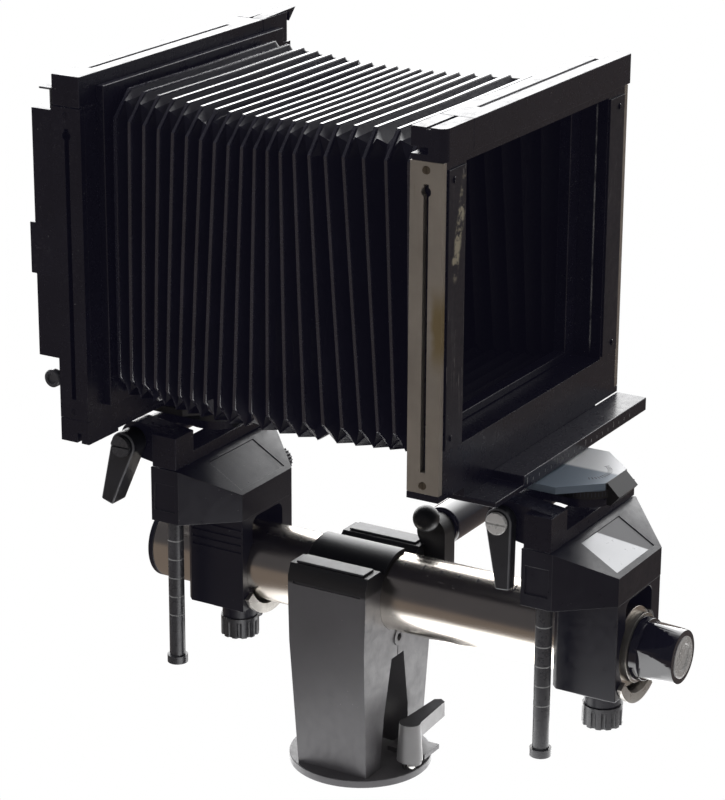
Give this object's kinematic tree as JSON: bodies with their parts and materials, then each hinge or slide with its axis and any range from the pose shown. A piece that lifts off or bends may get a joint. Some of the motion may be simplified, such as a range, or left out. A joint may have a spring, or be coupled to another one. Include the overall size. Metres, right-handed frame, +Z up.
{
  "type": "monorail view camera",
  "caption": "view camera with two movable standards, pleated bellows and a tubular rail held by a hinged clamp on a round foot, for large sheet film",
  "frame": {"origin": "centre of the round foot's underside, at the mouth of the tripod thread", "axes": "+Z up, the rail runs along Y with the lens side at -Y, X across the camera with the tilt levers at -X"},
  "size_m": [0.182, 0.3064, 0.3559],
  "materials": {
    "black_paint": "satin black enamel",
    "black_plastic": "satin black moulding",
    "grey_plastic": "matte dark grey moulding",
    "gloss_plastic": "polished black moulding",
    "silver": "satin anodised, lightly aged",
    "steel": "turned steel",
    "bellows_leather": "matte black folded cloth",
    "frosted_glass": "finely ground"
  },
  "bodies": {
    "clamp": {"base_foot": "black_paint", "tripod_bush": "steel", "clamp_body": "black_paint", "clamp_pin": "steel", "clamp_near_pad": "grey_plastic", "clamp_spindle": "steel"},
    "far_jaw": {"clamp_jaw": "black_paint", "clamp_far_pad": "grey_plastic"},
    "cam_lever": {"clamp_lever": "black_plastic"},
    "tension_knob": {"clamp_knob": "gloss_plastic"},
    "rail": {"rail_tube": "silver", "rail_front_plug": "silver", "rail_rear_cap": "black_plastic"},
    "end_knob": {"rail_end_knob": "gloss_plastic"},
    "front_carrier": {"front_bearer": "black_plastic", "front_housing": "black_plastic", "front_name_plate": "silver", "front_lock_yoke": "black_paint"},
    "front_shoe": {"front_rail_jaw": "silver"},
    "front_lock": {"front_lock_knob": "grey_plastic"},
    "front_focus": {"front_focus_shaft": "steel", "front_focus_wheel": "black_plastic"},
    "front_riser": {"front_posts": "black_paint", "front_head": "black_paint", "front_tilt_axle": "steel"},
    "front_lever": {"front_tilt_lever": "grey_plastic"},
    "front_tilting": {"front_tilt_carriage": "black_paint"},
    "front_swinging": {"front_swing_table": "silver"},
    "front_standard": {"front_shift_plate": "black_paint", "front_frame": "black_paint", "front_side_plates": "silver", "front_screws": "steel", "front_bellows_frame": "black_paint", "front_strips": "black_paint"},
    "front_bar": {"front_top_bar": "black_paint"},
    "rear_carrier": {"rear_bearer": "black_plastic", "rear_housing": "black_plastic", "rear_name_plate": "black_plastic", "rear_lock_yoke": "black_paint"},
    "rear_shoe": {"rear_rail_jaw": "silver"},
    "rear_lock": {"rear_lock_knob": "grey_plastic"},
    "rear_focus": {"rear_focus_shaft": "steel", "rear_focus_wheel": "black_plastic"},
    "rear_riser": {"rear_posts": "black_paint", "rear_head": "black_paint", "rear_tilt_axle": "steel"},
    "rear_lever": {"rear_tilt_lever": "grey_plastic"},
    "rear_tilting": {"rear_tilt_carriage": "black_paint"},
    "rear_swinging": {"rear_swing_table": "silver"},
    "rear_standard": {"rear_shift_plate": "black_paint", "rear_frame": "black_paint", "rear_side_plates": "black_paint", "rear_screws": "steel", "rear_bellows_frame": "black_paint", "bellows_cloth": "bellows_leather"},
    "rear_bar": {"rear_top_bar": "black_paint"},
    "back": {"back_frame": "black_paint", "ground_glass": "frosted_glass", "back_latch": "black_paint"}
  },
  "joints": [
    {"name": "jaw_swing", "type": "hinge", "parent": "clamp", "child": "far_jaw", "pos_m": [0, 0, 0.071], "axis": [0, 1, 0], "range_deg": [0, 1.8]},
    {"name": "cam_lever_turn", "type": "hinge", "parent": "clamp", "child": "cam_lever", "pos_m": [-0.005, -0.0315, 0.018], "axis": [0, 0, 1], "range_deg": [-73, 1]},
    {"name": "tension_knob_turn", "type": "hinge", "parent": "far_jaw", "child": "tension_knob", "pos_m": [0.05, -0.026, 0.119], "axis": [1, 0, 0], "continuous": true},
    {"name": "rail_slide", "type": "slide", "parent": "clamp", "child": "rail", "axis": [0, 1, 0], "range_m": [-0.008, 0.03]},
    {"name": "end_knob_turn", "type": "hinge", "parent": "rail", "child": "end_knob", "pos_m": [0, -0.163, 0.0955], "axis": [0, 1, 0], "continuous": true},
    {"name": "front_focus_slide", "type": "slide", "parent": "rail", "child": "front_carrier", "axis": [0, 1, 0], "range_m": [0, 0.04], "deforming": ["bellows_cloth"]},
    {"name": "front_focus_turn", "type": "hinge", "parent": "front_carrier", "child": "front_focus", "pos_m": [0, -0.128, 0.13], "axis": [1, 0, 0], "range_deg": [-160, 5]},
    {"name": "front_lock_turn", "type": "hinge", "parent": "front_carrier", "child": "front_lock", "pos_m": [0, -0.134, 0.057], "axis": [0, 0, 1], "range_deg": [-5, 365]},
    {"name": "front_shoe_lift", "type": "slide", "parent": "front_carrier", "child": "front_shoe", "axis": [0, 0, 1], "range_m": [0, 0.002]},
    {"name": "front_rise", "type": "slide", "parent": "front_carrier", "child": "front_riser", "axis": [0, 0, 1], "range_m": [0, 0.025], "deforming": ["bellows_cloth"]},
    {"name": "front_tilt_lock", "type": "hinge", "parent": "front_riser", "child": "front_lever", "pos_m": [-0.0466, -0.1, 0.1635], "axis": [1, 0, 0], "range_deg": [-6, 60]},
    {"name": "front_tilt", "type": "hinge", "parent": "front_riser", "child": "front_tilting", "pos_m": [0, -0.1, 0.1635], "axis": [1, 0, 0], "range_deg": [-9, 9], "deforming": ["bellows_cloth"]},
    {"name": "front_swing", "type": "hinge", "parent": "front_tilting", "child": "front_swinging", "pos_m": [0, -0.121, 0.173], "axis": [0, 0, 1], "range_deg": [-10, 10], "deforming": ["bellows_cloth"]},
    {"name": "front_shift", "type": "slide", "parent": "front_swinging", "child": "front_standard", "axis": [1, 0, 0], "range_m": [-0.015, 0.015], "deforming": ["bellows_cloth"]},
    {"name": "front_bar_slide", "type": "slide", "parent": "front_standard", "child": "front_bar", "axis": [1, 0, 0], "range_m": [0, 0.013]},
    {"name": "rear_focus_slide", "type": "slide", "parent": "rail", "child": "rear_carrier", "axis": [0, 1, 0], "range_m": [-0.02, 0.018], "deforming": ["bellows_cloth"]},
    {"name": "rear_focus_turn", "type": "hinge", "parent": "rear_carrier", "child": "rear_focus", "pos_m": [0, 0.078, 0.13], "axis": [1, 0, 0], "range_deg": [-75, 82]},
    {"name": "rear_lock_turn", "type": "hinge", "parent": "rear_carrier", "child": "rear_lock", "pos_m": [0, 0.072, 0.057], "axis": [0, 0, 1], "range_deg": [-5, 365]},
    {"name": "rear_shoe_lift", "type": "slide", "parent": "rear_carrier", "child": "rear_shoe", "axis": [0, 0, 1], "range_m": [0, 0.002]},
    {"name": "rear_rise", "type": "slide", "parent": "rear_carrier", "child": "rear_riser", "axis": [0, 0, 1], "range_m": [0, 0.025], "deforming": ["bellows_cloth"]},
    {"name": "rear_tilt_lock", "type": "hinge", "parent": "rear_riser", "child": "rear_lever", "pos_m": [-0.0466, 0.106, 0.1635], "axis": [1, 0, 0], "range_deg": [-22, 45]},
    {"name": "rear_tilt", "type": "hinge", "parent": "rear_riser", "child": "rear_tilting", "pos_m": [0, 0.106, 0.1635], "axis": [1, 0, 0], "range_deg": [-9, 9], "deforming": ["bellows_cloth"]},
    {"name": "rear_swing", "type": "hinge", "parent": "rear_tilting", "child": "rear_swinging", "pos_m": [0, 0.085, 0.173], "axis": [0, 0, 1], "range_deg": [-10, 10], "deforming": ["bellows_cloth"]},
    {"name": "rear_shift", "type": "slide", "parent": "rear_swinging", "child": "rear_standard", "axis": [1, 0, 0], "range_m": [-0.015, 0.015], "deforming": ["bellows_cloth"]},
    {"name": "rear_bar_slide", "type": "slide", "parent": "rear_standard", "child": "rear_bar", "axis": [1, 0, 0], "range_m": [-0.013, 0]},
    {"name": "back_spring", "type": "slide", "parent": "rear_standard", "child": "back", "axis": [0, 1, 0], "range_m": [0, 0.01], "stiffness_N_per_m": 900, "springref_m": -0.01}
  ],
  "couplings": [
    {"joint": "cam_lever_turn", "follows": "jaw_swing", "ratio": -40},
    {"joint": "front_focus_turn", "follows": "front_focus_slide", "rad_per_m": -66.89},
    {"joint": "front_lock_turn", "follows": "front_shoe_lift", "rad_per_m": 3141.6},
    {"joint": "rear_focus_turn", "follows": "rear_focus_slide", "rad_per_m": -66.89},
    {"joint": "rear_lock_turn", "follows": "rear_shoe_lift", "rad_per_m": 3141.6}
  ]
}
